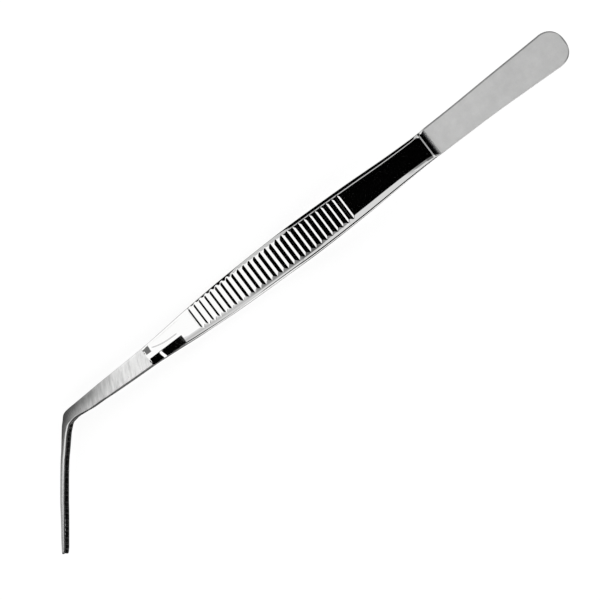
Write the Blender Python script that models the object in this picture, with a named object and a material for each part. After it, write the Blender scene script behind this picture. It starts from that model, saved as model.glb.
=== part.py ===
"""Long bent-tip tweezers for planting aquariums.

Two stamped steel arms lie back to back at the tail, where two spot welds join
them. In front of the tail each arm leaves its neighbour, bows out to a ribbed
grip, narrows to a blade and ends in a slim jaw that is bent sideways and
cross-serrated on its gripping face. Squeezing the grips bends each arm about
the thin neck in front of the tail, and the jaws close.

Each arm is cut once, across its neck: behind the cut is the tail leaf, in
front of it the spring arm, whose origin lies on the bending line.

Frame: metres, +Z up. The origin is on the flat outer face of the lower tail,
on the centre line, ORIGIN_FROM_TAIL in front of the tail's rounded end.
+X runs from the tail to the jaws, +Y is the side the jaws bend to. The outer
edge of an arm is its -Y edge, outside the bend; the inner edge is its +Y edge.
"""
import math

import bpy
import numpy as np

MM = 0.001

# ---- driving dimensions: millimetres and degrees, x from the tail end --------
ORIGIN_FROM_TAIL = 30.0
TAIL_THICK = 1.2             # one tail leaf
NECK_THICK = 1.6
GRIP_THICK = 1.8
BLADE_THICK = 2.0            # at the bend
JAW_END_THICK = 1.5          # at the tip of the upper jaw
LEAF_GAP = 0.04              # between the two tail leaves
STEP_X = 60.6                # middle of the shoulder from tail to neck
STEP_LENGTH = 4.8
NECK_X = 69.0                # line about which the arm bends
CUT_GAP = 0.30               # between tail leaf and spring arm
CLOSE_DEG = 1.6              # turn of each arm from rest to jaws closed
JAW_CLEAR = 0.03             # closed jaw's mid-tooth level above its leaf's flat face

TAIL_ROUND = 7.0             # length of the rounded tail end
TAIL_POWER = 2.3             # exponent of its superellipse
TAIL_HALF = 7.04             # half width it rounds out to

RIB_COUNT = 28
RIB_PITCH = 2.43
RIB_FIRST_X = 166.07         # jaw-side edge of the foremost groove
RIB_GROOVE = 1.72            # width of one groove
RIB_DEPTH = 0.20
RIB_FLOOR = (0.43, 0.84)     # start and end of the groove floor, shares of its width
RIB_LEAD = 0.9               # plain metal between the last neck section and the ribs
NECK_SECTIONS = 9

EDGE_BEVEL_DROP = 0.72       # how far the bevelled long edges fall at the grip
BEVEL_MAX_SHARE = 0.42       # widest bevel, as a share of the section's width
BEND_BEVEL = (0.35, 0.3)     # width, drop
JAW_BEVEL = (0.32, 0.3)

JAW_START = np.array((224.1, -1.42))         # outer corner of the bend
JAW_DIR = np.array((0.6045, 0.7966))         # in plan, 52.8 degrees off the body
JAW_PERP = np.array((-JAW_DIR[1], JAW_DIR[0]))   # towards the hollow of the bend
JAW_LENGTH = 49.85           # upper jaw
LOWER_JAW_EXTRA = 1.4        # the lower jaw reaches this much further
LOWER_JAW_SWAY = 0.22        # and its tip lies this much further outside the bend
SWAY_START, SWAY_LENGTH, SWAY_POWER = 28, 20, 1.5    # where and how the sway grows

TOOTH_PITCH = 1.63
TOOTH_HEIGHT = 0.50          # peak to peak
TOOTH_COUNT = 28
TOOTH_END_GAP = 0.2          # upper jaw, past its full teeth
SPARE_TURNS = 4              # extra tooth turns that the longer lower jaw can use
TURN_MARGIN = 0.1            # no tooth turn lies closer than this to the jaw's end

WELD_X = {"rear": 16.0, "front": 44.0}
WELD_RADIUS = 2.4
WELD_HALF_HEIGHT = 0.40
WELD_CLEAR = 0.06            # pocket clearance, once in height and twice in radius
DISC_SIDES = 32
DISC_FACE_SHARE = 0.7        # flat face radius as a share of the full radius
DISC_RIM_SHARE = 0.4         # upright rim height as a share of the full height

MATING_Z = TAIL_THICK + LEAF_GAP / 2         # mating plane above the origin
STEP_REAR, STEP_FRONT = STEP_X - STEP_LENGTH / 2, STEP_X + STEP_LENGTH / 2

# ---- finishes: base colour, roughness ---------------------------------------
SATIN = ((0.72, 0.72, 0.71), 0.42)
POLISHED = ((0.86, 0.86, 0.85), 0.08)
FUSED = ((0.55, 0.54, 0.52), 0.5)


def smooth_curve(points):
    """Curve through (x, y) points that never overshoots them, held at both ends."""
    xs, ys = np.array(points, float).T
    spans = np.diff(xs)
    slopes = np.diff(ys) / spans
    tangents = np.zeros(len(xs))
    tangents[0], tangents[-1] = slopes[0], slopes[-1]
    for i in range(1, len(xs) - 1):
        if slopes[i - 1] * slopes[i] > 0:
            before = 2 * spans[i] + spans[i - 1]
            after = spans[i] + 2 * spans[i - 1]
            tangents[i] = (before + after) / (before / slopes[i - 1] + after / slopes[i])

    def value_at(x):
        i = int(np.clip(np.searchsorted(xs, x) - 1, 0, len(spans) - 1))
        t = min(1.0, max(0.0, (x - xs[i]) / spans[i]))
        return float((2 * t**3 - 3 * t**2 + 1) * ys[i]
                     + (t**3 - 2 * t**2 + t) * spans[i] * tangents[i]
                     + (-2 * t**3 + 3 * t**2) * ys[i + 1]
                     + (t**3 - t**2) * spans[i] * tangents[i + 1])
    return value_at


# ---- plan outline -----------------------------------------------------------
# x, half width of the arm in front of the rounded tail end
half_width = smooth_curve([
    (7, 6.98), (22, 6.46), (44, 5.83), (59, 5.66), (73, 5.90), (98, 6.83),
    (117, 7.13), (133, 6.86), (151, 6.32), (166, 5.38), (177, 4.46), (187.5, 3.73),
    (200, 3.29), (207, 3.03), (213, 2.67), (217.6, 2.38)])
# x, y of the arm's middle
centre_y = smooth_curve([
    (0, -0.10), (28, -0.10), (38, -0.02), (46, 0.14), (54, 0.24), (62, 0.30),
    (80, 0.32), (100, 0.32), (115, 0.28), (130, 0.24), (145, 0.28), (160, 0.30),
    (172, 0.28), (184, 0.33), (189, 0.36), (195, 0.37), (205, 0.28), (214, 0.17),
    (218, 0.08)])
# sections that lead round the bend: outer (x, y), inner (x, y)
BEND = [
    ((219.3, -2.22), (218.4, 2.28)),
    ((221.7, -2.12), (219.9, 2.25)),
    ((223.5, -1.82), (221.12, 2.24)),
    ((224.7, -1.16), (222.15, 2.27)),
    ((225.6, -0.16), (223.2, 2.44)),
]
# distance along the jaw from JAW_START, width of the jaw
jaw_width = smooth_curve([
    (2.2, 3.00), (4.1, 2.66), (6.2, 2.24), (8.3, 1.99), (14.8, 1.60), (23, 1.38),
    (32, 1.33), (40, 1.20), (47, 1.12), (49.85, 0.76)])
# distance along the jaw, shift of its outer edge to the outside of the bend
jaw_bow = smooth_curve([
    (0, 0), (2.5, 0.55), (4.5, 0.72), (6.2, 0.80), (9.5, 0.86), (12, 0.91),
    (14, 0.98), (15.2, 1.07), (18, 1.15), (23, 1.155), (31, 1.13), (34, 1.02),
    (40, 0.81), (45.5, 0.69), (49.85, 0.46)])

# ---- side profile -----------------------------------------------------------
RISE_START, RISE_END, RISE_STEP = 58.5, 230.0, 0.25
# x, slope of the arm's mating-side face
slope = smooth_curve([
    (RISE_START, 0.0), (72, 0.138), (88, 0.166), (104, 0.148), (120, 0.090),
    (140, 0.015), (158, -0.040), (166, -0.0514), (178, -0.080), (218, -0.0707)])
# x, thickness
thickness = smooth_curve([
    (STEP_REAR, TAIL_THICK), (STEP_FRONT, NECK_THICK), (92, NECK_THICK),
    (102, GRIP_THICK), (166, GRIP_THICK), (187, 1.85), (222, BLADE_THICK)])
# x, width of the bevel along each long edge
bevel_width = smooth_curve([
    (STEP_REAR, 0.25), (STEP_FRONT, 1.9), (98, 2.5), (166, 2.3), (175, 2.0),
    (189, 0.5), (217, 0.4)])
# x, fall of that bevel below the outer face
bevel_drop = smooth_curve([
    (STEP_REAR, 0.2), (STEP_FRONT, 0.5), (71, EDGE_BEVEL_DROP),
    (166, EDGE_BEVEL_DROP), (189, 0.35), (217, 0.3)])

RISE_X = np.arange(RISE_START, RISE_END, RISE_STEP)
RISE_Z = np.concatenate([[0.0], np.cumsum(
    [RISE_STEP * slope(float(x) + RISE_STEP / 2) for x in RISE_X[:-1]])])


def rise(x):
    """Height of the arm's mating-side face above that of its tail leaf."""
    return float(np.interp(x, RISE_X, RISE_Z))


NECK_Z = rise(NECK_X) + NECK_THICK / 2      # bending line above the leaf's flat face
CLOSE_ANGLE = math.radians(CLOSE_DEG)


def jaw_rise(x):
    """Height that brings the gripping face down to JAW_CLEAR once the arm has turned."""
    fall = (x - NECK_X) * math.sin(CLOSE_ANGLE)
    return NECK_Z + (JAW_CLEAR - NECK_Z + fall) / math.cos(CLOSE_ANGLE)


# ---- sections of the upper arm ----------------------------------------------
# Plain section places on the tail leaf, and on the blade in front of the ribs.
TAIL_X = (0.05, 0.3, 0.8, 1.6, 2.8, 4.3, 6.2, 9, 16, 24, 32, 40, 48, 54, 57.5,
          58.5, 59.5, 60.5, 61.5, 62.5, 64.5, 66.5, NECK_X - CUT_GAP / 2)
BLADE_X = (168, 172, 176, 180, 184, 188, 192, 197, 202, 207, 212, 216.5)


def section(outer, inner, low, thick, bevel, groove=0.0):
    """Closed six-point section between two plan points; bevel is (width, drop)."""
    outer, inner = np.array(outer), np.array(inner)
    width = float(np.linalg.norm(inner - outer))
    across = (inner - outer) / width
    edge_width, drop = bevel
    edge_width = min(edge_width, BEVEL_MAX_SHARE * width)
    if groove:
        edge_width *= 1 - groove / drop     # the groove floor cuts into the bevels
    top, edge = low + thick - groove, low + thick - drop
    profile = [(0.0, edge), (edge_width, top), (width - edge_width, top),
               (width, edge), (width, low), (0.0, low)]
    return [(*(outer + across * reach), z) for reach, z in profile]


def body_section(x, groove=0.0):
    if x < TAIL_ROUND:
        inset = 1 - max(x, 0.0) / TAIL_ROUND
        half = TAIL_HALF * (1 - inset**TAIL_POWER) ** (1 / TAIL_POWER)
    else:
        half = half_width(x)
    middle = centre_y(x)
    return section((x, middle - half), (x, middle + half), rise(x), thickness(x),
                   (bevel_width(x), bevel_drop(x)), groove)


def rib_sections():
    """Four sections for each groove, the tail-side groove first."""
    rows = []
    for k in range(RIB_COUNT - 1, -1, -1):
        front = RIB_FIRST_X - k * RIB_PITCH
        rear = front - RIB_GROOVE
        rows.append(body_section(rear))
        for share in RIB_FLOOR:
            rows.append(body_section(rear + share * RIB_GROOVE, RIB_DEPTH))
        rows.append(body_section(front))
    return rows


def bend_sections():
    """The height blends from the body's to the jaw's, and never falls below the jaw's."""
    rows = []
    for n, (outer, inner) in enumerate(BEND):
        x = (outer[0] + inner[0]) / 2
        share = (n + 1) / (len(BEND) + 1)
        low = max((1 - share) * rise(x) + share * jaw_rise(x), jaw_rise(x))
        rows.append(section(outer, inner, low, BLADE_THICK, BEND_BEVEL))
    return rows


def jaw_section(along, tooth, extra, sway):
    scaled = along * JAW_LENGTH / (JAW_LENGTH + extra)
    sway_share = min(1.0, max(0.0, (scaled - SWAY_START) / SWAY_LENGTH)) ** SWAY_POWER
    bow = jaw_bow(scaled) + sway * sway_share
    outer = JAW_START + JAW_DIR * along - JAW_PERP * bow
    inner = outer + JAW_PERP * jaw_width(scaled)
    low = jaw_rise(float((outer[0] + inner[0]) / 2)) + tooth
    thick = BLADE_THICK + (JAW_END_THICK - BLADE_THICK) * along / JAW_LENGTH - tooth
    return section(outer, inner, low, thick, JAW_BEVEL)


def jaw_sections(phase, extra, sway):
    """A section at each peak and valley of the teeth, and one at the jaw's end."""
    half_pitch = TOOTH_PITCH / 2
    first = JAW_LENGTH - TOOTH_COUNT * TOOTH_PITCH - TOOTH_END_GAP
    length = JAW_LENGTH + extra
    turns = [first + n * half_pitch for n in range(2 * TOOTH_COUNT + SPARE_TURNS)]
    rows = []
    for along in [turn for turn in turns if turn < length - TURN_MARGIN] + [length]:
        cycle = ((along - first) / half_pitch + phase) % 2
        tooth = TOOTH_HEIGHT * (abs(cycle - 1) - 0.5)
        rows.append(jaw_section(along, tooth, extra, sway))
    return rows


def arm_sections(phase, extra, sway):
    """Spring arm from the cut to the jaw's end; phase 1 shifts the teeth half a pitch."""
    ribs_rear = RIB_FIRST_X - (RIB_COUNT - 1) * RIB_PITCH - RIB_GROOVE
    neck_x = np.linspace(NECK_X + CUT_GAP / 2, ribs_rear - RIB_LEAD, NECK_SECTIONS)
    return ([body_section(x) for x in neck_x] + rib_sections()
            + [body_section(x) for x in BLADE_X] + bend_sections()
            + jaw_sections(phase, extra, sway))


# ---- objects ----------------------------------------------------------------
def loft(name, rings, location, flip):
    """Closed mesh through equal rings of points; flip turns its faces over."""
    n = len(rings[0])
    last = (len(rings) - 1) * n
    faces = [tuple(range(n)), tuple(range(last, last + n))[::-1]]
    for start in range(0, last, n):
        for k in range(n):
            a, b = start + k, start + (k + 1) % n
            faces.append((a, a + n, b + n, b))
    if flip:
        faces = [face[::-1] for face in faces]
    verts = [tuple(np.array(point) * MM) for ring in rings for point in ring]
    mesh = bpy.data.meshes.new(name)
    mesh.from_pydata(verts, [], faces)
    mesh.validate()
    mesh.update()
    obj = bpy.data.objects.new(name, mesh)
    bpy.context.scene.collection.objects.link(obj)
    obj.location = np.array(location) * MM
    return obj


def finish(obj, colour, roughness):
    obj.data.shade_smooth()
    obj.data.set_sharp_from_angle(angle=math.radians(20))
    material = bpy.data.materials.new(obj.name + "_steel")
    material.use_nodes = True
    shader = material.node_tree.nodes["Principled BSDF"]
    shader.inputs["Base Color"].default_value = (*colour, 1.0)
    shader.inputs["Metallic"].default_value = 1.0
    shader.inputs["Roughness"].default_value = roughness
    obj.data.materials.append(material)


def steel_part(name, rows, pivot, side, steel):
    """Part of an arm; side is 1 for the upper arm and -1 to mirror it for the lower."""
    pivot = np.array(pivot)
    rings = [[np.array([x - ORIGIN_FROM_TAIL, y, MATING_Z + side * (z + LEAF_GAP / 2)]) - pivot
              for x, y, z in row] for row in rows]
    obj = loft(name, rings, pivot, flip=side < 0)
    finish(obj, *steel)
    obj.parent = root
    return obj


def disc(name, x, radius, half_height):
    """Flat round disc with chamfered rims, centred on the mating plane."""
    angles = [2 * math.pi * k / DISC_SIDES for k in range(DISC_SIDES)]
    rim = half_height * DISC_RIM_SHARE
    layers = [(-half_height, DISC_FACE_SHARE), (-rim, 1.0), (rim, 1.0),
              (half_height, DISC_FACE_SHARE)]
    rings = [[(radius * share * math.cos(a), radius * share * math.sin(a), z) for a in angles]
             for z, share in layers]
    return loft(name, rings, (x - ORIGIN_FROM_TAIL, 0, MATING_Z), flip=True)


def spot_weld(label, x):
    weld = disc(f"{label}_spot_weld", x, WELD_RADIUS, WELD_HALF_HEIGHT)
    finish(weld, *FUSED)
    weld.parent = root


def weld_pocket(label, x):
    """Hidden cutter that makes room for a spot weld in the tail leaves."""
    cutter = disc(f"{label}_pocket", x, WELD_RADIUS + WELD_CLEAR * 2,
                  WELD_HALF_HEIGHT + WELD_CLEAR)
    cutter.hide_render = True
    cutter.display_type = "WIRE"
    return cutter


def tail_leaf(label, side):
    rows = [body_section(x) for x in TAIL_X]
    tail = steel_part(f"{label}_tail_leaf", rows, (0.0, 0.0, MATING_Z), side, SATIN)
    for cutter in pockets:
        cut = tail.modifiers.new(cutter.name, "BOOLEAN")
        cut.operation = "DIFFERENCE"
        cut.object = cutter


def spring_arm(label, side, phase, extra, sway):
    pivot = (NECK_X - ORIGIN_FROM_TAIL, 0.0, MATING_Z + side * (NECK_Z + LEAF_GAP / 2))
    steel_part(f"{label}_spring_arm", arm_sections(phase, extra, sway), pivot, side, POLISHED)


# ---- build ------------------------------------------------------------------
for old in list(bpy.data.objects):
    bpy.data.objects.remove(old, do_unlink=True)

root = bpy.data.objects.new("tweezers", None)
bpy.context.scene.collection.objects.link(root)

pockets = []
for label, x in WELD_X.items():
    spot_weld(label, x)
    pockets.append(weld_pocket(label, x))

tail_leaf("upper", side=1)
spring_arm("upper", side=1, phase=0, extra=0.0, sway=0.0)
tail_leaf("lower", side=-1)
spring_arm("lower", side=-1, phase=1, extra=LOWER_JAW_EXTRA, sway=LOWER_JAW_SWAY)
bpy.context.view_layer.update()
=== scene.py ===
"""Bent aquascaping tweezers: two continuous spring-steel arms, floor, studio light and camera.

The arms lie along X, tail at -X, and their jaws bend towards +Y. The upper arm lies above
the mating plane and the lower arm is its mirror image, with a slightly longer jaw.
Shapes are in millimetres, X from the tail's rounded end; an arm's height is measured
from its mating side outwards. "Out" is the -Y edge, outside the bend, and "in" the +Y edge.
"""

import math
from functools import reduce
from types import SimpleNamespace

import bmesh
import bpy
import numpy as np
from mathutils import Matrix, Vector


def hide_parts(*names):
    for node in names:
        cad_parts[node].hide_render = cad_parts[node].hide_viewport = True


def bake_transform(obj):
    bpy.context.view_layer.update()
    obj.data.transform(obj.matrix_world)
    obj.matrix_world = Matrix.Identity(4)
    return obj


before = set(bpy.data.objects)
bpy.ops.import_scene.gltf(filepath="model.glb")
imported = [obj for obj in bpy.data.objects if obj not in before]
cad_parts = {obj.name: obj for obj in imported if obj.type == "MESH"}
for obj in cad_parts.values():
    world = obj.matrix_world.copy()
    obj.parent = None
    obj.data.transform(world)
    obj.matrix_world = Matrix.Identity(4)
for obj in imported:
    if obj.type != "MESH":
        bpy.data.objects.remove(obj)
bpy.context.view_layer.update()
MM = 0.001

# ---- driving dimensions ------------------------------------------------------------
ORIGIN_FROM_TAIL = 30.0
TAIL_THICK, NECK_THICK, GRIP_THICK, BLADE_THICK, JAW_END_THICK = 1.2, 1.6, 1.8, 2.0, 1.5
LEAF_GAP = 0.04
MID_Z = TAIL_THICK + LEAF_GAP / 2       # the mating plane
TAIL_ROUND, TAIL_POWER, TAIL_HALF = 7.0, 2.3, 7.04    # superellipse of the tail's end
TAIL_EDGE = 0.35                        # radius of the tab's rounded edges
STEP_REAR, STEP_FRONT = 58.2, 63.0      # the step from tab to neck
NECK_X = 69.0                           # the arm turns about this place
TURN = math.radians(1.6)
WELD_X, WELD_RADIUS = (16.0, 44.0), 2.4
RIB_COUNT, RIB_PITCH, RIB_FIRST_X = 28, 2.43, 166.07
TOOTH_COUNT, TOOTH_PITCH, TOOTH_HEIGHT = 28, 1.63, 0.50
JAW_DIR = np.array([0.6045, 0.7966])
JAW_PERP = np.array([-0.7966, 0.6045])
JAW_START = np.array([224.1, -1.42])
JAW_LENGTH = 49.85
JAW_CLEAR = 0.03
LOWER_EXTRA, LOWER_SWAY = 1.4, 0.22     # the lower jaw reaches further and its tip lies outwards
BEYOND_BODY = 230.0                     # stands for X in tables where a section is past the body
# ground flat on the +Y side between grip and blade, and a small one beside it; tilts in degrees
FLAT_REAR, FLAT_FRONT, FLAT_Y, FLAT_TILT = 173.4, 187.93, 1.40, 3.5
PATCH_REAR, PATCH_LOW, PATCH_HIGH, PATCH_TILT = 185.3, -3.20, -0.28, 3.0
NICK_X, NICK_HALF, NICK_DEEP = 182.1, 1.40, 0.042      # a shallow dent across the flat
FLOOR_BELOW_MID = 11.03


# ---- curve helpers -------------------------------------------------------------------
def hermite(xs, ys):
    """Smooth vectorised curve through (x, y) points that never overshoots them."""
    xs, ys = np.asarray(xs, float), np.asarray(ys, float)
    gap, grade = np.diff(xs), np.diff(ys) / np.diff(xs)
    tangent = np.zeros(len(xs))
    tangent[0], tangent[-1] = grade[0], grade[-1]
    for i in range(1, len(xs) - 1):
        if grade[i - 1] * grade[i] > 0:
            before, after = 2 * gap[i] + gap[i - 1], gap[i] + 2 * gap[i - 1]
            tangent[i] = (before + after) / (before / grade[i - 1] + after / grade[i])

    def at(x):
        x = np.asarray(x, float)
        i = np.clip(np.searchsorted(xs, x) - 1, 0, len(gap) - 1)
        t = np.clip((x - xs[i]) / gap[i], 0, 1)
        return ((2 * t**3 - 3 * t**2 + 1) * ys[i] + (t**3 - 2 * t**2 + t) * gap[i] * tangent[i]
                + (-2 * t**3 + 3 * t**2) * ys[i + 1] + (t**3 - t**2) * gap[i] * tangent[i + 1])
    return at


def natural_spline(knots, points):
    """Natural cubic spline through rows of points at the knots."""
    count, gap = len(knots), np.diff(knots)
    matrix, right = np.zeros((count, count)), np.zeros((count, points.shape[1]))
    matrix[0, 0] = matrix[-1, -1] = 1
    for i in range(1, count - 1):
        matrix[i, i - 1:i + 2] = gap[i - 1], 2 * (gap[i - 1] + gap[i]), gap[i]
        right[i] = 6 * ((points[i + 1] - points[i]) / gap[i]
                        - (points[i] - points[i - 1]) / gap[i - 1])
    bend = np.linalg.solve(matrix, right)

    def at(x):
        i = np.clip(np.searchsorted(knots, x) - 1, 0, count - 2)
        ahead, behind = (knots[i + 1] - x)[:, None], (x - knots[i])[:, None]
        span = gap[i][:, None]
        return ((bend[i] * ahead**3 + bend[i + 1] * behind**3) / (6 * span)
                + (points[i] / span - bend[i] * span / 6) * ahead
                + (points[i + 1] / span - bend[i + 1] * span / 6) * behind)
    return at


def smoothstep(start, end, x):
    t = np.clip((np.asarray(x, float) - start) / (end - start), 0, 1)
    return t * t * (3 - 2 * t)


def smooth_max(a, b, blend):
    share = np.clip(0.5 + 0.5 * (a - b) / blend, 0, 1)
    return share * a + (1 - share) * b + blend * share * (1 - share)


def quarter_round(share):
    """Drop of a quarter circle of radius 1, from 0 at share 0 to 1 at share 1."""
    return 1 - np.sqrt(1 - np.clip(share, 0, 1)**2)


def tan_deg(angle):
    return np.tan(np.radians(angle))


def climb(grade, at):
    """Height gained along positions with the given grades."""
    return np.concatenate([[0], np.cumsum((grade[1:] + grade[:-1]) / 2 * np.diff(at))])


def spread(start, end, count):
    return np.linspace(start, end, count, endpoint=False)


# ---- plan: first row position, second row value ---------------------------------------
half_width = hermite(
    [7, 22, 44, 59, 73, 98, 117, 133, 151, 166, 177, 187.5, 200, 207, 213, 217.6],
    [6.98, 6.46, 5.83, 5.66, 5.90, 6.83, 7.13, 6.86, 6.32, 5.38, 4.46, 3.73, 3.29, 3.03, 2.67,
     2.38])
centre_y = hermite(
    [0, 28, 38, 46, 54, 62, 80, 100, 115, 130, 145, 160, 172, 184, 189, 195, 205, 214, 218],
    [-0.10, -0.10, -0.02, 0.14, 0.24, 0.30, 0.32, 0.32, 0.28, 0.24, 0.28, 0.30, 0.28, 0.33, 0.36,
     0.37, 0.28, 0.17, 0.08])
# by distance along the jaw: its width, and how far it bows outwards
jaw_width = hermite([2.2, 4.1, 6.2, 8.3, 14.8, 23, 32, 40, 47, JAW_LENGTH],
                    [3.00, 2.66, 2.24, 1.99, 1.60, 1.38, 1.33, 1.20, 1.12, 0.76])
jaw_bow = hermite(
    [0, 2.5, 4.5, 6.2, 9.5, 12, 14, 15.2, 18, 23, 31, 34, 40, 45.5, JAW_LENGTH],
    [0, 0.55, 0.72, 0.80, 0.86, 0.91, 0.98, 1.07, 1.15, 1.155, 1.13, 1.02, 0.81, 0.69, 0.46])


def body_edges(x):
    """Out and in edge points of the body at x."""
    share = 1 - np.clip(x, 0, TAIL_ROUND) / TAIL_ROUND
    half = np.where(x < TAIL_ROUND, TAIL_HALF * (1 - share**TAIL_POWER) ** (1 / TAIL_POWER),
                    half_width(np.maximum(x, TAIL_ROUND)))
    centre = centre_y(x)
    return np.stack([x, centre - half], 1), np.stack([x, centre + half], 1)


def jaw_edges(along):
    """Out and in edge points of the jaw at a distance along it."""
    out = JAW_START + along[:, None] * JAW_DIR - jaw_bow(along)[:, None] * JAW_PERP
    return out, out + jaw_width(along)[:, None] * JAW_PERP


# The turn from body to jaw: one spline for each edge, through rungs across the arm.
BODY_RUNGS = np.arange(196.0, 217.0, 4.0)
BEND_OUT = np.array([(219.3, -2.22), (221.7, -2.12), (223.5, -1.82), (224.7, -1.16),
                     (225.6, -0.16)])
BEND_IN = np.array([(218.4, 2.28), (219.9, 2.25), (221.12, 2.24), (222.15, 2.27), (223.2, 2.44)])
JAW_RUNGS = np.array([3.7, 5.2, 6.9, 8.8, 11, 13.5, 16.5, 20])
JOIN = 3        # the rung of body and of jaw where the splines take over
RUNGS_OUT, RUNGS_IN = (np.vstack(parts) for parts in
                       zip(body_edges(BODY_RUNGS), (BEND_OUT, BEND_IN), jaw_edges(JAW_RUNGS)))
RUNGS_MID = (RUNGS_OUT + RUNGS_IN) / 2
RUNG_AT = np.concatenate([[0], np.cumsum(np.linalg.norm(np.diff(RUNGS_MID, axis=0), axis=1))])
out_spline, in_spline = natural_spline(RUNG_AT, RUNGS_OUT), natural_spline(RUNG_AT, RUNGS_IN)
BEND_START = RUNG_AT[JOIN]
BEND_END = RUNG_AT[len(BODY_RUNGS) + len(BEND_OUT) + JOIN]

# ---- side profile ----------------------------------------------------------------------
SLOPE_START, SLOPE_STEP = 58.5, 0.25
slope = hermite(
    [SLOPE_START, 72, 88, 104, 120, 140, 158, 166, 178, 218],
    [0.0, 0.138, 0.166, 0.148, 0.090, 0.015, -0.040, -0.0514, -0.080, -0.0707])
SLOPE_X = np.arange(SLOPE_START, 235.0, SLOPE_STEP)
RISES = np.concatenate([[0.0], np.cumsum(SLOPE_STEP * slope(SLOPE_X[:-1] + SLOPE_STEP / 2))])
NECK_Z = float(np.interp(NECK_X, SLOPE_X, RISES)) + NECK_THICK / 2


def rise(x):
    """Height of the mating-side face above the mating plane, sampled smoothly."""
    return sum(np.interp(x + shift, SLOPE_X, RISES, left=0.0)
               for shift in (-SLOPE_STEP, 0.0, SLOPE_STEP)) / 3


def jaw_rise(x):
    """The jaw's gripping face lies on the mating plane once the arm has turned."""
    return NECK_Z + (JAW_CLEAR - NECK_Z + (x - NECK_X) * math.sin(TURN)) / math.cos(TURN)


thick = hermite([STEP_FRONT, 92, 102, 166, 187, 222],
                [NECK_THICK, NECK_THICK, GRIP_THICK, GRIP_THICK, 1.85, BLADE_THICK])
# The step up from tab to neck: X against slope in degrees.
step_slope = hermite([58.8, 59.6, 60.3, 61.0, 61.6, 62.1, 62.35, 62.45, 62.9, STEP_FRONT],
                     [0, 0.8, 2.5, 3.0, 3.5, 6, 13, 21.5, 22.5, 0])
STEP_X = np.linspace(58.8, STEP_FRONT, 841)
STEP_Z = climb(tan_deg(step_slope(STEP_X)), STEP_X)


def body_thick(x):
    share = np.interp(x, STEP_X, STEP_Z / STEP_Z[-1])
    return TAIL_THICK + (thick(np.maximum(x, STEP_FRONT)) - TAIL_THICK) * share


# ---- cross grooves of the grip -----------------------------------------------------------
# One groove from its crease towards -X: place in 1000ths of a pitch, slope in degrees.
# A gently falling floor behind a sharp crease, a steeper rise, then a rounded crown.
RIB_SLOPE_AT = np.array([
    0, 44, 61, 80, 99, 117, 175, 249, 307, 344, 388, 409, 420, 468, 548, 629, 673, 693, 751, 803,
    845, 866, 891, 915, 945, 1000]) / 1000 * RIB_PITCH
RIB_SLOPE_START = [-7.8, -8.8, -10.5, -13, -10.5, -8.6, -7.8, -6.9, -5.4, -4.15, -2.4, 0.85, 5.9,
                   17]
RIB_SLOPE_END = [15, 7.5, 5.9, 3.5, 0.85, -1.4, -2.4, -4.15, -5.4, -6.9, -7.8]
# sections through one groove, in 1000ths of a pitch
RIB_STATIONS = np.array([
    0, 40, 55, 68, 80, 92, 105, 120, 160, 220, 280, 340, 383, 401, 414, 431, 468, 512, 548, 585,
    629, 665, 702, 760, 826, 866, 895, 925, 960]) / 1000 * RIB_PITCH


def rib_profile():
    """Places, depths and crown place of one pitch.

    The steepest slope, between the two tables, is set so that the groove closes on itself.
    """
    places = np.linspace(0, RIB_PITCH, 2001)
    low, high = 10.0, 35.0
    for _ in range(40):
        steepest = (low + high) / 2
        slopes = RIB_SLOPE_START + [steepest] + RIB_SLOPE_END
        grade = tan_deg(hermite(RIB_SLOPE_AT, slopes)(places))
        low, high = (low, steepest) if grade.mean() > 0 else (steepest, high)
    z = climb(grade, places)
    return places, z.max() - z, places[int(np.argmax(z))]


RIB_PLACES, RIB_DEPTHS, RIB_CROWN = rib_profile()
RIB_DEEP = float(RIB_DEPTHS.max())
RIB_FRONT = RIB_FIRST_X + RIB_PITCH - RIB_CROWN
RIB_REAR = RIB_FIRST_X - (RIB_COUNT - 1) * RIB_PITCH - RIB_CROWN


def rib_cut(x):
    depth = np.interp((RIB_FIRST_X - x) % RIB_PITCH, RIB_PLACES, RIB_DEPTHS)
    return np.where((x < RIB_FRONT) & (x > RIB_REAR), depth, 0.0)


# ---- rounded shoulders of the long edges ----------------------------------------------------
# Distance from the edge against slope in degrees, for a shoulder SHOULDER_REF wide.
SHOULDER_REF = 2.75
shoulder_slope = hermite([0, 0.04, 0.1, 0.25, 0.5, 0.85, 1.2, 2.0, 2.5, SHOULDER_REF],
                         [80, 66, 55, 40, 24, 15, 12.5, 9.5, 8, 0])
SHOULDER_AT = np.linspace(0, SHOULDER_REF, 1101)
SHOULDER_CLIMB = climb(tan_deg(shoulder_slope(SHOULDER_AT)), SHOULDER_AT)
SHOULDER_DROP = SHOULDER_CLIMB[-1] - SHOULDER_CLIMB
# X against shoulder width
shoulder_width = hermite([STEP_REAR, 60.4, STEP_FRONT, 66, 98, 166, 175, 187.7, 217],
                         [0.12, 0.5, 1.7, 2.1, 2.75, 2.6, 2.1, 0.62, 0.5])
# mesh columns across a shoulder, as shares of its width
SHOULDER_COLUMNS = [0, 0.006, 0.018, 0.04, 0.07, 0.11, 0.16, 0.22, 0.29, 0.36, 0.42, 0.48, 0.54,
                    0.60, 0.66, 0.72, 0.78, 0.84, 0.90, 0.95, 1.0]


def shoulder(distance, width):
    """Drop of a rounded shoulder at a distance from the edge."""
    scaled = distance * SHOULDER_REF / width
    return np.interp(scaled, SHOULDER_AT, SHOULDER_DROP) * width / SHOULDER_REF


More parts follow.
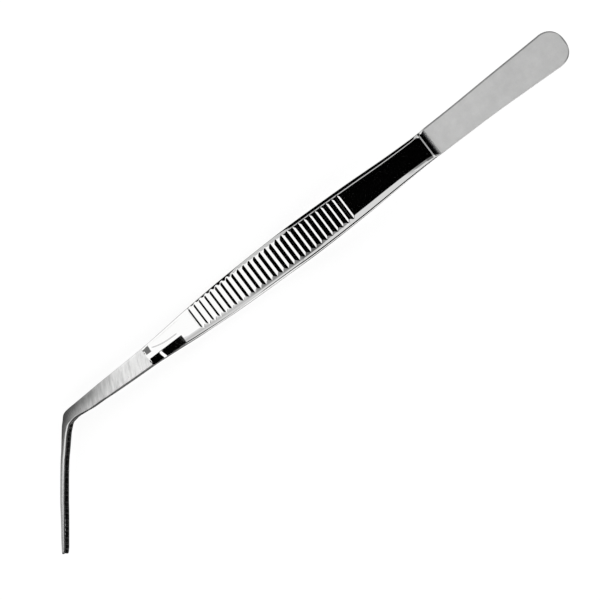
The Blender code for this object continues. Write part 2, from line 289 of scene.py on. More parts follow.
# ---- sections along one arm ------------------------------------------------------------------
def body_stations():
    """X of the body's sections, closer together where the shape changes quickly."""
    grooves = np.arange(-1, RIB_COUNT)[:, None] * RIB_PITCH
    ribs = (RIB_FIRST_X - (grooves + RIB_STATIONS)).ravel()
    ribs = ribs[(ribs < RIB_FRONT) & (ribs > RIB_REAR)]
    return np.unique(np.round(np.concatenate([
        [0.01, 0.03, 0.07, 0.12, 0.18, 0.25, 0.35, 0.47, 0.6, 0.8, 1.05, 1.35, 1.7, 2.1, 2.6, 3.2,
         3.9, 4.7, 5.6, 6.6, 7.8, 9.2],
        spread(10.8, 22, 14), spread(22, 38, 8), spread(38, 50, 15), spread(50, 58, 5),
        spread(58, 62.2, 18), spread(62.2, 63.2, 24), spread(63.2, 66, 8),
        spread(66, RIB_REAR - 0.1, 26), [RIB_REAR - 0.06, RIB_REAR], ribs,
        [RIB_FRONT, RIB_FRONT + 0.06], spread(RIB_FRONT + 0.4, FLAT_REAR - 0.1, 10),
        FLAT_REAR + np.array([-0.05, -0.02, 0.02, 0.05]),
        spread(FLAT_REAR + 0.3, NICK_X - 1.5, 8), spread(NICK_X - 1.4, NICK_X + 1.6, 24),
        spread(NICK_X + 1.7, PATCH_REAR - 0.1, 4), [PATCH_REAR - 0.04, PATCH_REAR + 0.04],
        spread(PATCH_REAR + 0.2, FLAT_FRONT - 0.1, 6), [FLAT_FRONT - 0.04, FLAT_FRONT + 0.04],
        spread(FLAT_FRONT + 0.3, BODY_RUNGS[JOIN], 34)]), 4))


def jaw_sections(side):
    """Out and in edge points of one arm's jaw, and how far its tip falls away."""
    reach = JAW_LENGTH + (LOWER_EXTRA if side < 0 else 0.0)
    at = np.concatenate([
        spread(JAW_RUNGS[JOIN], reach - 1.2, 272),
        reach - 1.2 + np.array([0, 0.2, 0.4, 0.6, 0.75, 0.87, 0.97, 1.05, 1.11, 1.16, 1.19, 1.2])])
    plan_at = at * JAW_LENGTH / reach
    out, inn = jaw_edges(plan_at)
    if side < 0:
        sway = LOWER_SWAY * np.clip((plan_at - 28) / 20, 0, 1) ** 1.5
        shift = (at - plan_at)[:, None] * JAW_DIR - sway[:, None] * JAW_PERP
        widening = 0.35 * smoothstep(43.5, 50, at)
        out, inn = out + shift - widening[:, None] * JAW_PERP, inn + shift
    else:
        aside = smoothstep(14, 30, at)[:, None] * JAW_PERP
        out, inn = out - 0.14 * aside, inn - 0.10 * aside
    # the end is rounded in plan
    shrink = 1 - 0.30 * quarter_round((at - (reach - 0.55)) / 0.55)[:, None]
    mid = (out + inn) / 2
    tip_fall = 0.45 * quarter_round((at - (reach - 0.75)) / 0.78)
    return mid + (out - mid) * shrink, mid + (inn - mid) * shrink, tip_fall


def teeth(along, side):
    """Height of the gripping teeth: straight flanks, crests a little rounded."""
    first = JAW_LENGTH - TOOTH_COUNT * TOOTH_PITCH - 0.2
    phase = (along - first) / (TOOTH_PITCH / 2)
    wave = -side * (1 - 2 * np.abs((phase % 2) - 1))
    wave = np.sin(np.pi / 2 * wave) * 0.35 + wave * 0.65
    return TOOTH_HEIGHT / 2 * wave * smoothstep(first - 0.6, first + 0.4, along) * 0.96


def arm_sections(side):
    """All that varies from section to section, tail to jaw end. Side is 1 upper, -1 lower."""
    x = body_stations()
    body_out, body_in = body_edges(x)
    body_out[:, 1] += np.interp(x, [57, 61, 66, 112, 125, 160, 170, 184],
                                [0, 0.08, 0.18, 0.18, 0.10, 0.10, 0.05, 0])
    turn_at = spread(BEND_START, BEND_END, 70)
    turn_out, turn_in = out_spline(turn_at), in_spline(turn_at)
    turn_x = turn_in[:, 0]
    turn_in[:, 1] += 0.24 * smoothstep(209, 216, turn_x) * (1 - smoothstep(218.2, 221.5, turn_x))
    jaw_out, jaw_in, tip_fall = jaw_sections(side)
    out, inn = np.vstack([body_out, turn_out, jaw_out]), np.vstack([body_in, turn_in, jaw_in])
    mid = (out + inn) / 2
    body, beyond = len(x), len(turn_at) + len(jaw_out)
    jaw_first = body + len(turn_at)
    along = (mid - JAW_START) @ JAW_DIR           # distance along the jaw from its start

    turned = smoothstep(BEND_START, BEND_END - 3, turn_at)
    mid_x = mid[body:jaw_first, 0]
    turn_low = (1 - turned) * rise(mid_x) + turned * jaw_rise(mid_x)
    low = [rise(x), np.maximum(turn_low, jaw_rise(mid_x)), jaw_rise(mid[jaw_first:, 0])]
    taper = np.clip(along[body:], 0, JAW_LENGTH) / JAW_LENGTH
    jaw_thick = BLADE_THICK + (JAW_END_THICK - BLADE_THICK) * taper
    jaw_share = smoothstep(BEND_START + 5, BEND_END - 1, turn_at)
    tooth = teeth(along, side)
    tooth[:body] = 0
    width = np.linalg.norm(inn - out, axis=1)
    return SimpleNamespace(
        out=out, mid=mid, along=along, tooth=tooth, width=width, wide=width[:, None],
        unit=(inn - out) / width[:, None], low=np.concatenate(low),
        x=np.concatenate([x, np.full(beyond, BEYOND_BODY)]),
        on_body=(np.arange(len(out)) < body)[:, None],
        thick=np.concatenate([body_thick(x), jaw_thick]),
        jaw=np.concatenate([np.zeros(body), jaw_share, np.ones(len(jaw_out))]),
        tip_fall=np.concatenate([np.zeros(jaw_first), tip_fall]),
        shoulder=np.minimum(np.concatenate([shoulder_width(x), np.full(beyond, 0.5)]),
                            0.44 * width),
        cut=np.concatenate([rib_cut(x), np.zeros(beyond)]))


# ---- surfaces of one arm -----------------------------------------------------------------------
def mirrored(half, wide):
    """Columns from the out edge to the centre line, carried on to the in edge."""
    return np.hstack([half, (wide - half[:, :-1])[:, ::-1]])


def place(arm, across):
    """Plan points at distances across each section from the out edge."""
    return arm.out[:, None, :] + across[:, :, None] * arm.unit[:, None, :]


def outer_columns(arm):
    """Columns of the outer face; the flat's crease and the small flat have pairs of their own."""
    width, x, mid_y = arm.width, arm.x, arm.mid[:, 1]
    covered = np.maximum(arm.shoulder, np.minimum(TAIL_EDGE, 0.3 * width))
    crease = np.where(x < 200, np.clip(FLAT_Y - mid_y, 0.3, 0.3 * width), 0.3 * width)
    ledge = np.where(x < 200, np.clip(mid_y - PATCH_HIGH, 0.2, 0.9 * crease), 0.5 * crease)
    centre = width / 2
    stop = np.maximum(centre - crease, covered + 0.02)
    half = [covered * share for share in SHOULDER_COLUMNS]
    half += [covered + (stop - covered) * share for share in (0.12, 0.4, 0.72, 0.97)]
    half += [stop + (centre - stop) * 0.03, stop + (centre - ledge - stop) * 0.5,
             centre - ledge - 0.025, centre - ledge + 0.025, centre - ledge * 0.4, centre]
    return mirrored(np.array(half).T, arm.wide)


def polyline_distance(points, line):
    nearest = np.full(len(points), 1e9)
    for start, step in zip(line[:-1], np.diff(line, axis=0)):
        t = np.clip(((points - start) @ step) / (step @ step + 1e-12), 0, 1)
        offset = points - (start + t[:, None] * step)
        nearest = np.minimum(nearest, np.linalg.norm(offset, axis=1))
    return nearest


def outline_distance(arm, plan, near):
    """Distance to the long edges, or to the rounded outline at the tail."""
    reach = 9.0
    tail = arm.x < reach
    line_x = np.linspace(0.0, reach, 200) ** 2 / reach
    line_x[0] = 0.002
    out, inn = body_edges(line_x)
    to_line = polyline_distance(plan[tail].reshape(-1, 2), np.vstack([out[::-1], inn]))
    distance = near.copy()
    distance[tail] = np.minimum(to_line.reshape(-1, near.shape[1]), near[tail])
    return distance


def outer_height(arm, across):
    """Height of the outer face: shoulders, flats, dent, grooves and broken edges."""
    wide, x, width = arm.wide, arm.x[:, None], arm.shoulder[:, None]
    near = np.minimum(across, wide - across)
    plan = place(arm, across)
    distance = outline_distance(arm, plan, near)
    y = plan[:, :, 1]
    # the out edge's shoulder narrows along the grip
    slimmer = np.interp(x, [118, 126, 138, 146, 156, 166, 176, 187],
                        [1.0, 0.88, 0.80, 0.70, 0.56, 0.42, 0.45, 1.0])
    drop = shoulder(distance, width * np.where(across < wide / 2, slimmer, 1.0))
    # the ground flat takes the +Y shoulder's place on the jaw side of the grip
    flat = (x > FLAT_REAR) & (x < FLAT_FRONT) & (across > wide / 2)
    depth = np.clip(1 - np.abs(x - NICK_X + 0.24 * (y - FLAT_Y - 1.2)) / NICK_HALF, 0, 1)
    nick = NICK_DEEP * depth**2 * (3 - 2 * depth) * smoothstep(FLAT_Y, FLAT_Y + 0.3, y)
    flat_drop = np.clip(y - FLAT_Y, 0, None) * tan_deg(FLAT_TILT)
    drop = np.where(flat, shoulder(distance, np.minimum(width, 0.14)) + nick + flat_drop, drop)
    patch = (x > PATCH_REAR) & (x < FLAT_FRONT) & (y > PATCH_LOW) & (y < PATCH_HIGH)
    drop = np.where(patch, drop + (PATCH_HIGH - y) * tan_deg(PATCH_TILT), drop)
    cut = arm.cut[:, None]
    drop = np.where(cut > 1e-6, smooth_max(cut, drop, 0.02), drop)
    # the tab's edges are rounded
    tab = 1 - smoothstep(STEP_REAR - 0.5, STEP_REAR + 1.6, x)
    tab_drop = 0.8 * TAIL_EDGE * quarter_round(1 - distance / TAIL_EDGE)
    drop = np.maximum(drop * (1 - tab), 0) + tab * tab_drop
    # the jaw's outer face is slightly crowned, its edges broken
    jaw, edge = arm.jaw[:, None], 0.16
    crown = 0.05 * np.clip(1 - 2 * near / wide, 0, 1) ** 2 + edge * quarter_round(1 - near / edge)
    drop = (1 - jaw) * drop + jaw * crown
    return arm.low[:, None] + arm.thick[:, None] - drop - arm.tip_fall[:, None]


def mating_columns(arm):
    wide = arm.wide
    edge = np.minimum([0.0, 0.02, 0.06, 0.12, 0.22, 0.4],
                      wide / 2 * np.array([0, 0.04, 0.1, 0.18, 0.3, 0.45]))
    rest = edge[:, -1:] + (wide / 2 - edge[:, -1:]) * np.array([0.15, 0.3, 0.45, 0.6, 0.8, 1.0])
    return mirrored(np.hstack([edge, rest]), wide)


def mating_height(arm, across):
    """Height of the mating face: flat, toothed at the jaws, with pockets for the spot welds."""
    edge = 0.12
    near = np.minimum(across, arm.wide - across)
    height = arm.low[:, None] + arm.tooth[:, None] + edge * quarter_round(1 - near / edge)
    plan = place(arm, across)
    for weld_x in WELD_X:
        radius = np.hypot(plan[:, :, 0] - weld_x, plan[:, :, 1])
        pocket = 0.5 * (1 - smoothstep(WELD_RADIUS + 0.5, WELD_RADIUS + 1.5, radius))
        height = np.where(arm.on_body, np.maximum(height, pocket), height)
    return height


def widened(arm, across, z):
    """3D points of a face: the mating side is the widest, so the side walls lean in above it."""
    lean = np.interp(arm.x, [66, 80, 100, 160, 168, 174, 181, 187.5],
                     [0, 0.09, 0.06, 0.10, 0.15, 0.20, 0.13, 0.04])[:, None] * arm.on_body
    span = np.maximum(arm.thick, 0.5)[:, None]
    share = 1 - np.clip((z - arm.low[:, None]) / span, 0, 1)
    centre = arm.wide / 2
    aside = (across - centre) / centre
    flare = 0.10 * arm.jaw[:, None] + np.where(aside > 0, lean, 0)
    return np.dstack([place(arm, across + aside * share * flare), z])


def side_wall(start, end):
    return np.stack([start + (end - start) * share for share in (0.33, 0.67)], 1)


def arm_rings(arm):
    """Closed loops of points round each section, and how many of each lie on the outer face."""
    across = outer_columns(arm)
    top = widened(arm, across, outer_height(arm, across))
    under = mating_columns(arm)
    bottom = widened(arm, under, mating_height(arm, under))[:, ::-1, :]
    rings = np.concatenate([top, side_wall(top[:, -1], bottom[:, 0]),
                            bottom, side_wall(bottom[:, -1], top[:, 0])], 1)
    return rings, across.shape[1]


def add_attributes(mesh, arm, rings, outer_count):
    """Where on the arm each point is, for the finishes."""
    count, around = rings.shape[:2]
    steps = np.linalg.norm(np.diff(arm.mid, axis=0), axis=1)
    run = np.concatenate([[0], np.cumsum(steps)])
    outer = np.tile((np.arange(around) < outer_count).astype(float), count)
    off = ((rings[:, :, :2] - arm.mid[:, None, :]) * arm.unit[:, None, :]).sum(2)
    values = {
        "run": np.repeat(run * MM, around),
        "off": off.ravel() * MM,
        "edge": np.clip(arm.wide / 2 - np.abs(off), 0, None).ravel() * MM,
        "outer": outer,
        "groove": np.repeat(arm.cut / RIB_DEEP, around) * outer,
        "tooth": np.repeat(smoothstep(1.0, 3.0, arm.along) * arm.jaw, around),
    }
    for key, value in values.items():
        attribute = mesh.attributes.new(key, "FLOAT", "POINT")
        attribute.data.foreach_set("value", value.astype(np.float32))


def build_arm(name, side):
    arm = arm_sections(side)
    rings, outer_count = arm_rings(arm)
    x, y, z = rings.reshape(-1, 3).T
    verts = np.stack([x - ORIGIN_FROM_TAIL, y, MID_Z + side * (z + LEAF_GAP / 2)], 1) * MM
    index = np.arange(len(verts)).reshape(rings.shape[:2])
    here, ahead = index[:-1], index[1:]
    quads = np.stack([here, ahead, np.roll(ahead, -1, 1), np.roll(here, -1, 1)], 2)
    faces = quads.reshape(-1, 4).tolist() + [index[0].tolist(), index[-1][::-1].tolist()]
    if side < 0:
        faces = [face[::-1] for face in faces]
    mesh = bpy.data.meshes.new(name)
    mesh.from_pydata(verts.tolist(), [], faces)
    add_attributes(mesh, arm, rings, outer_count)
    mesh.validate()
    mesh.update()
    mesh.shade_smooth()
    mesh.set_sharp_from_angle(angle=math.radians(38))
    obj = bpy.data.objects.new(name, mesh)
    bpy.context.scene.collection.objects.link(obj)
    return obj


# ---- node helpers ------------------------------------------------------------------------------
class Shader:
    """Short-hand for a node tree. Every input takes either a plain value or a socket."""

    def __init__(self, owner):
        owner.use_nodes = True
        self.tree = owner.node_tree
        self.tree.nodes.clear()

    def put(self, socket, value):
        if isinstance(value, bpy.types.NodeSocket):
            self.tree.links.new(value, socket)
        else:
            socket.default_value = value

    def node(self, kind, *values, props=None, **inputs):
        """A new node with its first inputs given in order, or inputs given by name."""
        node = self.tree.nodes.new("ShaderNode" + kind)
        for key, value in (props or {}).items():
            setattr(node, key, value)
        for socket, value in zip(node.inputs, values):
            self.put(socket, value)
        for key, value in inputs.items():
            self.put(node.inputs[key.replace("_", " ")], value)
        return node

    def math(self, operation, a, b=0.0, *rest):
        return self.node("Math", a, b, *rest, props={"operation": operation}).outputs[0]

    def add(self, a, b):
        return self.math("ADD", a, b)

    def sub(self, a, b):
        return self.math("SUBTRACT", a, b)

    def mul(self, *values):
        return reduce(lambda a, b: self.math("MULTIPLY", a, b), values)

    def max(self, *values):
        return reduce(lambda a, b: self.math("MAXIMUM", a, b), values)

    def fit(self, x, gain, base):
        return self.math("MULTIPLY_ADD", x, gain, base)

    def ramp(self, x, start, end, before, after):
        """Smooth ramp from before at start to after at end."""
        return self.node("MapRange", props={"interpolation_type": "SMOOTHSTEP"}, Value=x,
                         From_Min=start, From_Max=end, To_Min=before, To_Max=after).outputs[0]

    def rise(self, x, start, end):
        return self.ramp(x, start, end, before=0.0, after=1.0)

    def fall(self, x, start, end):
        return self.ramp(x, start, end, before=1.0, after=0.0)

    def window(self, x, start, end, soft):
        """1 between start and end, 0 outside, with soft borders."""
        return self.mul(self.rise(x, start - soft, start + soft),
                        self.fall(x, end - soft, end + soft))

    def mix(self, mask, under, over, data_type="FLOAT"):
        node = self.node("Mix", mask, props={"data_type": data_type})
        first = 2 if data_type == "FLOAT" else 6
        self.put(node.inputs[first], under)
        self.put(node.inputs[first + 1], over)
        return node.outputs[2 if data_type == "RGBA" else 0]

    def attribute(self, name):
        return self.node("Attribute", props={"attribute_name": name}).outputs["Fac"]

    def noise(self, vector, scale, detail, rough):
        return self.node("TexNoise", Vector=vector, Scale=scale, Detail=detail,
                         Roughness=rough).outputs["Fac"]

    def combine(self, kind, *parts):
        return self.node("Combine" + kind, *parts).outputs[0]

    def bump(self, height, strength, distance):
        return self.node("Bump", Strength=strength, Distance=distance,
                         Height=height).outputs["Normal"]


def new_material(name):
    material = bpy.data.materials.new(name)
    return material, Shader(material)


def mm(*lengths):
    return [length * MM for length in lengths]


# ---- the arm's steel ------------------------------------------------------------------------------
def steel_marks(net, run, off):
    """Noise patterns: brushing, grinding, blasted grain, clouds and polishing hairlines."""
    skew = net.sub(run, net.mul(off, 0.55))
    spot = net.node("TexCoord").outputs["Object"]
    across_fine = net.combine("XYZ", skew, net.mul(off, 0.10), 0.0)
    across_wide = net.combine("XYZ", skew, net.mul(off, 0.22), 3.0)
    along = net.combine("XYZ", net.mul(run, 0.04), off, 0.0)
    hairline = net.combine("XYZ", net.mul(run, 0.02), off, 0.0)
    return SimpleNamespace(
        across_fine=net.noise(across_fine, scale=3600, detail=3.0, rough=0.65),
        across_wide=net.noise(across_wide, scale=760, detail=3.0, rough=0.6),
        along=net.noise(along, scale=5200, detail=3.0, rough=0.6),
        grain=net.noise(spot, scale=4600, detail=2.0, rough=0.6),
        cloud=net.noise(spot, scale=160, detail=3.0, rough=0.6),
        patchy=net.noise(spot, scale=420, detail=3.0, rough=0.6),
        hairline=net.noise(hairline, scale=9000, detail=2.0, rough=0.5))


def tab_brightness(net, marks, run, off, edge):
    """Mottled grey, with painted shade along the tab's border on its out half and at its tail end."""
    mottle = net.add(net.fit(marks.cloud, gain=0.16, base=-0.08),
                     net.fit(marks.patchy, gain=0.10, base=-0.05))
    level = net.add(net.fit(marks.grain, gain=0.10, base=0.64), mottle)
    # painted shade: the rounded border darkens on the out half and at the tail end
    border = net.fall(net.math("MINIMUM", edge, run), *mm(0.28, 0.80))
    where = net.max(net.fall(off, *mm(0.5, 1.5)), net.fall(run, *mm(3.0, 6.0)))
    return net.sub(level, net.mul(net.mul(border, where), 0.44))


def blade_brightness(net, marks, run, off):
    """Brushed across, with painted shade darkening it towards the bend and most on its outside."""
    bend_shade = net.rise(run, *mm(193.0, 221.5))
    to_inner = net.rise(off, *mm(-2.6, 2.4))
    # painted shade: darker towards the bend, most on the outside
    level = net.sub(net.mix(bend_shade, 0.93, 0.38),
                    net.mul(bend_shade, net.sub(0.62, to_inner), 0.42))
    return net.mul(level, net.add(net.fit(marks.across_fine, gain=0.46, base=0.77),
                                  net.fit(marks.across_wide, gain=0.96, base=-0.48)))


def jaw_brightness(net, marks, run, off, edge):
    """Painted shade on the outside of the bend, with a painted highlight line that follows the hollow side."""
    # painted highlight along the hollow side; painted shade on the outside of the bend
    highlight_ridge = net.mul(net.fall(edge, *mm(0.62, 1.0)), net.rise(off, *mm(-0.30, 0.32)))
    jaw_shade = net.mix(net.rise(run, *mm(229.0, 254.0)),
                   net.ramp(off, *mm(-1.6, 2.4), before=0.06, after=0.31), 0.40)
    highlight_level = net.ramp(run, *mm(232.0, 256.0), before=0.92, after=0.70)
    return net.mul(net.mix(highlight_ridge, jaw_shade, highlight_level), net.fit(marks.along, gain=0.30, base=0.85))


def mating_brightness(net, marks, run, off, edge):
    """Brightness of mating faces and side walls, painted dark as shade outside a lighter stretch of the grip,
    the teeth darkest; and the mask of the shaded walls.
    """
    # painted shade: mating faces dark (0.12) outside run 114-173 mm, lighter (0.72) within it
    unshaded_stretch = net.mul(net.rise(run, *mm(114.0, 131.0)), net.fall(run, *mm(163.0, 173.0)))
    level = net.fit(marks.patchy, gain=0.14, base=net.mix(unshaded_stretch, 0.12, 0.72))
    # painted shade: side walls darker still outside that stretch
    shaded_wall = net.mul(net.fall(edge, *mm(0.01, 0.06)), net.sub(1.0, unshaded_stretch))
    level = net.mix(shaded_wall, level, 0.035)
    # painted shade on the teeth, lighter towards the in side
    tooth_shade = net.ramp(off, *mm(0.0, 0.6), before=0.03, after=0.22)
    shaded_teeth = net.fit(marks.grain, gain=0.10, base=tooth_shade)
    return net.mix(net.attribute("tooth"), level, shaded_teeth), shaded_wall


def rim_shade_mask(net, run, off, edge):
    """Painted shade on a ground bevel along the hollow side of blade and jaw; its width varies along the arm.
    """
    at_bend = net.mul(net.window(run, *mm(219.0, 225.5, 2.0)), 0.30 * MM)
    narrowing = net.ramp(run, *mm(226.0, 246.0), before=-0.05 * MM, after=0.26 * MM)
    at_tip = net.ramp(run, *mm(252.0, 266.0), before=0.0, after=0.17 * MM)
    distance = net.add(net.sub(edge, at_bend), net.sub(narrowing, at_tip))
    return net.mul(net.fall(distance, *mm(0.15, 0.55)), net.rise(off, *mm(0.0, 0.2)),
                   net.rise(run, *mm(187.7, 187.9)))


def grey_line_mask(net, run, off):
    """A darker grey line curving over the polished face beside the ground flat, as a cubic path."""
    bow = net.math("DIVIDE", net.sub(run, 174.0 * MM), 10.5 * MM)
    cubic = net.math("POWER", net.max(bow, 0.0), 3.0)
    path = net.sub(-0.30 * MM, net.mul(cubic, 1.45 * MM))
    distance = net.math("ABSOLUTE", net.sub(off, path))
    return net.mul(net.fall(distance, *mm(0.10, 0.34)), net.window(run, *mm(174.5, 184.4, 0.4)))


def arm_steel():
    """One stainless strip with four finishes: blasted tab, mirror neck and grip, cross-brushed blade,
    fine-ground jaws, with painted shade on tab, blade and jaws and a painted highlight on the jaws.
    Its mating faces are left as rolled, with painted shade making them and the side walls dark."""
    material, net = new_material("stainless_arm")
    run, off, outer, edge = (net.attribute(name) for name in ("run", "off", "outer", "edge"))
    marks = steel_marks(net, run, off)
    inside = net.fall(outer, 0.25, 0.75)
    zones = (net.fall(run, *mm(59.0, 61.3)), net.rise(run, *mm(187.84, 187.96)),
             net.rise(run, *mm(216.5, 225.0)), inside)

    def finish(mirror, *coats):
        """The mirror's value, covered by those of tab, blade, jaws and mating faces."""
        for mask, coat in zip(zones, coats):
            mirror = net.mix(mask, mirror, coat)
        return mirror

    rough = finish(net.fit(marks.cloud, gain=0.02, base=0.022),
                   net.fit(marks.grain, gain=0.14, base=0.33),
                   net.fit(marks.across_fine, gain=0.16, base=0.22),
                   net.fit(marks.along, gain=0.12, base=0.20),
                   net.fit(marks.hairline, gain=0.12, base=0.16))
    value = finish(0.94, tab_brightness(net, marks, run, off, edge),
                   blade_brightness(net, marks, run, off),
                   jaw_brightness(net, marks, run, off, edge))
    # painted shade on mating faces, side walls and teeth
    mating, shaded_wall = mating_brightness(net, marks, run, off, edge)
    # painted shade on the bevel along the hollow side
    rim_shade = rim_shade_mask(net, run, off, edge)
    rim_shade_level = net.ramp(run, *mm(212.0, 220.0), before=0.22, after=0.10)
    value = net.mul(value, net.mix(rim_shade, 1.0, rim_shade_level))
    value = net.mul(value, net.mix(grey_line_mask(net, run, off), 1.0, 0.60))
    value = net.mix(inside, value, mating)
    value = net.math("MINIMUM", net.max(value, 0.02), 0.97)
    # bevel, side walls and the mating faces past the grip lose their glancing reflections
    glance = net.max(net.mul(rim_shade, net.sub(1.0, inside)),
                     net.mul(inside, net.rise(run, *mm(187.7, 187.9))), net.mul(shaded_wall, inside))
    tint = net.mix(glance, 1.0, 0.06)
    height = finish(net.mul(marks.hairline, 0.05), marks.grain, marks.across_fine, marks.along,
                    marks.hairline)
    strength = finish(0.05, 0.45, 0.5, 0.35, 0.12)
    bsdf = net.node("BsdfPrincipled",
                    Base_Color=net.combine("Color", value, value, net.mul(value, 0.995)),
                    Specular_Tint=net.combine("Color", tint, tint, tint),
                    Metallic=finish(1.0, 0.55, 0.85, 0.9, 1.0), Roughness=rough,
                    Normal=net.bump(height, strength, distance=0.00004))
    net.node("OutputMaterial", Surface=bsdf.outputs[0])
    return material


def weld_steel():
    material, net = new_material("fused_weld")
    spot = net.node("TexCoord").outputs["Object"]
    mottle = net.noise(spot, scale=1800, detail=4.0, rough=0.6)
    relief = net.noise(spot, scale=6000, detail=2.0, rough=0.5)
    dark, light = (0.30, 0.29, 0.28, 1), (0.62, 0.58, 0.52, 1)
    bsdf = net.node("BsdfPrincipled",
                    Base_Color=net.mix(net.rise(mottle, 0.35, 0.65), dark, light, "RGBA"),
                    Metallic=1.0, Roughness=net.fit(mottle, gain=0.3, base=0.35),
                    Normal=net.bump(relief, strength=0.5, distance=0.00005))
    net.node("OutputMaterial", Surface=bsdf.outputs[0])
    return material


# ---- the arms and their welds ------------------------------------------------------------------------
STEEL = arm_steel()
WELD = weld_steel()
for label, side in (("upper", 1), ("lower", -1)):
    arm = build_arm(f"{label}_arm_steel", side)
    arm.data.materials.append(STEEL)
    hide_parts(f"{label}_tail_leaf", f"{label}_spring_arm")
    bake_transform(arm)
for node in ("front_spot_weld", "rear_spot_weld"):
    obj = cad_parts[node]
    for slot in obj.material_slots:
        slot.material = WELD
    if not obj.material_slots:
        obj.data.materials.append(WELD)


# ---- floor ----------------------------------------------------------------------------------------------
def floor_paper():
    """White paper that mostly glows by itself, so that shadows stay faint."""
    material, net = new_material("floor_paper")
    diffuse = net.node("BsdfDiffuse", Color=(0.95, 0.95, 0.95, 1))
    glow = net.node("Emission", Color=(1, 1, 1, 1), Strength=1.06)
    glow_share = 0.75
    mixer = net.node("MixShader", glow_share, diffuse.outputs[0], glow.outputs[0])
    net.node("OutputMaterial", Surface=mixer.outputs[0])
    return material


def floor():
    bm = bmesh.new()
    bmesh.ops.create_grid(bm, x_segments=1, y_segments=1, size=3.0)
    mesh = bpy.data.meshes.new("floor")
    bm.to_mesh(mesh)
    bm.free()
    obj = bpy.data.objects.new("floor", mesh)
    obj.location = (0.1, 0.02, (MID_Z - FLOOR_BELOW_MID) * MM)
    bpy.context.scene.collection.objects.link(obj)
    obj.data.materials.append(floor_paper())


floor()


# ---- studio light -----------------------------------------------------------------------------------------
# over_x and over_y say where a reflected ray meets a ceiling one unit up.
# Ramps and windows below are places on that ceiling; the other numbers are brightness.
def main_board(net, over_x, over_y, lean):
    """The large white board towards +X, with darker fields and a cut border."""
    border = net.mix(net.rise(net.math("ABSOLUTE", over_y), 0.09, 0.15), 0.103,
                     net.ramp(over_y, -0.50, -0.38, before=0.232, after=0.178))
    front = net.rise(net.add(over_x, border), -0.007, 0.007)
    # its -Y part: a dimmer corner, a dark field with a slanting bound, and a grey line
    dim = net.mul(net.fall(over_y, -0.42, -0.40), net.fall(over_x, 0.02, 0.05))
    bound = net.sub(-0.36, net.mul(net.max(net.sub(over_x, 0.11), 0.0), 1.6))
    dark = net.mul(net.fall(net.sub(over_y, bound), -0.02, 0.02),
                   net.window(over_x, 0.04, 0.205, soft=0.010))
    line = net.mul(net.ramp(over_y, -0.95, -0.75, before=0.6, after=0.0),
                   net.rise(over_x, 0.17, 0.19))
    board = net.mul(net.mix(dim, 1.3, 0.72), net.sub(1.0, net.max(dark, line)))
    # its +Y part fades in steps
    fade = net.mix(net.rise(over_y, 0.16, 0.40), 1.3, 0.62)
    fade = net.mix(net.rise(over_y, 0.42, 0.54), fade, 0.80)
    fade = net.mix(net.rise(over_x, 0.0, 0.07),
                   net.ramp(over_y, 0.37, 0.54, before=0.33, after=0.98), net.mul(fade, 1.06))
    board = net.mix(net.rise(over_y, 0.05, 0.10), board, fade)
    # past its +Y end only a band goes on
    notch = net.ramp(over_x, -0.12, -0.05, before=0.08, after=0.0)
    past_end = net.rise(net.add(over_y, notch), 0.82, 0.88)
    band = net.mul(net.window(lean, -0.05, 0.295, soft=0.02), 0.78)
    return net.mul(front, net.mix(past_end, board, band))


def side_boards(net, over_x, over_y):
    """Two adjoining boards towards -X and +Y; the one nearer the middle is smudged."""
    rear = net.mul(net.fall(over_x, -0.42, -0.38), net.window(over_y, 0.27, 0.85, soft=0.02),
                   0.90)
    smudge = net.rise(over_x, -0.31, -0.26)
    level = net.mix(net.rise(net.sub(over_y, net.mul(smudge, 0.05)), 0.355, 0.405),
                    net.mix(smudge, 0.34, 0.17), 0.9)
    middle = net.mul(net.window(over_x, -0.40, -0.178, soft=0.008), level,
                     net.window(over_y, 0.26, 0.85, soft=0.02))
    return net.add(rear, middle)


def strips(net, over_x, over_y):
    """A strip along X on the -Y side, and one across the -X end."""
    along = net.mul(net.window(over_y, -0.505, -0.452, soft=0.010),
                    net.fall(over_x, -0.21, -0.19), 0.75)
    end = net.mul(net.window(over_x, -1.7, -1.02, soft=0.04),
                  net.window(over_y, -0.4, 0.5, soft=0.03), 0.5)
    return net.max(along, end)


def low_sky(net, x, y, z):
    """Light near the horizon, by ray direction: all round but for a gap, +Y, and +X."""
    gap = net.mul(net.fall(x, -0.12, -0.05), net.rise(y, 0.3, 0.5))
    around = net.mul(net.ramp(z, 0.16, 0.26, before=1.1, after=0.0), net.sub(1.0, gap))
    plus_y = net.mul(net.ramp(z, 0.44, 0.50, before=0.9, after=0.0),
                     net.window(x, -0.09, 0.200, soft=0.015), net.rise(y, 0.3, 0.5))
    plus_x = net.mul(net.ramp(z, 0.55, 0.65, before=1.2, after=0.0), net.rise(x, 0.25, 0.40),
                     net.rise(y, -0.30, -0.10))
    return net.max(around, plus_y, plus_x)


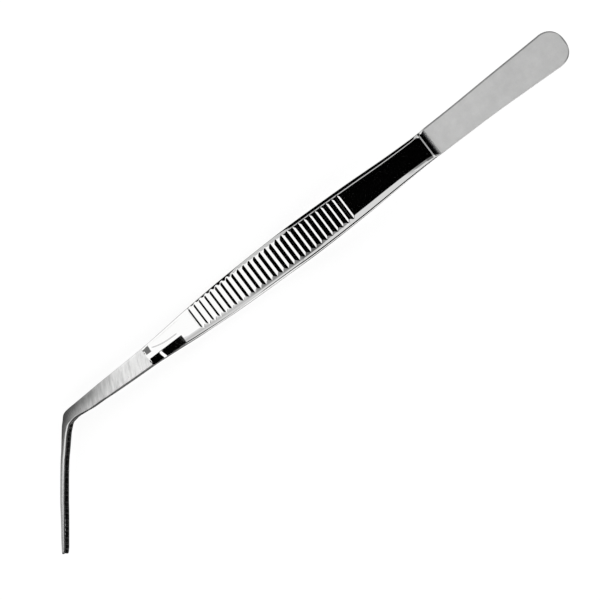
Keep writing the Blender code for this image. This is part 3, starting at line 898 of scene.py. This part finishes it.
def dark_cards(net, over_x, over_y, lean):
    """Cards that hide light: a band, a corner and a narrow grey one."""
    band = net.mul(net.window(over_y, 0.050, 0.19, soft=0.008), net.rise(over_x, 0.202, 0.208))
    corner = net.mul(net.rise(over_y, 0.182, 0.198), net.rise(lean, 0.222, 0.232))
    grey = net.mul(net.window(over_x, 0.20, 0.45, soft=0.01),
                   net.window(over_y, -0.150, -0.118, soft=0.008), 0.85)
    return net.max(band, corner, grey)


def studio():
    """A white room for camera and diffuse rays; reflections see boards round dark cloth."""
    world = bpy.data.worlds.new("studio")
    bpy.context.scene.world = world
    net = Shader(world)
    ray = net.node("TexCoord").outputs["Generated"]
    x, y, z = net.node("SeparateXYZ", ray).outputs
    up = net.max(z, 0.02)
    over_x, over_y = net.math("DIVIDE", x, up), net.math("DIVIDE", y, up)
    lean = net.sub(over_x, net.mul(net.max(over_y, 0.0), 0.06))
    overhead = net.max(net.max(main_board(net, over_x, over_y, lean),
                               side_boards(net, over_x, over_y)),
                       strips(net, over_x, over_y))
    level = net.max(net.mul(overhead, net.rise(z, 0.42, 0.50)), low_sky(net, x, y, z))
    cards = dark_cards(net, over_x, over_y, lean)
    level = net.add(net.mul(level, net.sub(1.0, cards)), 0.0004)
    glossy = net.node("LightPath").outputs["Is Glossy Ray"]
    plain = net.node("Background", Color=(1, 1, 1, 1), Strength=1.06)
    boards = net.node("Background", Strength=level)
    mixer = net.node("MixShader", glossy, plain.outputs[0], boards.outputs[0])
    net.node("OutputWorld", Surface=mixer.outputs[0])


studio()


# ---- camera -------------------------------------------------------------------------------------------------
def camera():
    """Looks straight down, turned so that the tail lies to the right of the picture."""
    data = bpy.data.cameras.new("camera")
    obj = bpy.data.objects.new("camera", data)
    bpy.context.scene.collection.objects.link(obj)
    data.sensor_width = 36.0
    data.lens = 105.08
    data.clip_start, data.clip_end = 0.01, 20
    right, up = Vector((-0.79658, 0.60454, 0)), Vector((-0.60454, -0.79658, 0))
    turn = Matrix((right, up, right.cross(up).normalized())).transposed()
    obj.matrix_world = Matrix.Translation(Vector((0.10234, 0.0170, 0.6321))) @ turn.to_4x4()
    bpy.context.scene.camera = obj


camera()
bpy.context.scene.view_settings.view_transform = "Standard"
bpy.context.scene.view_settings.look = "None"
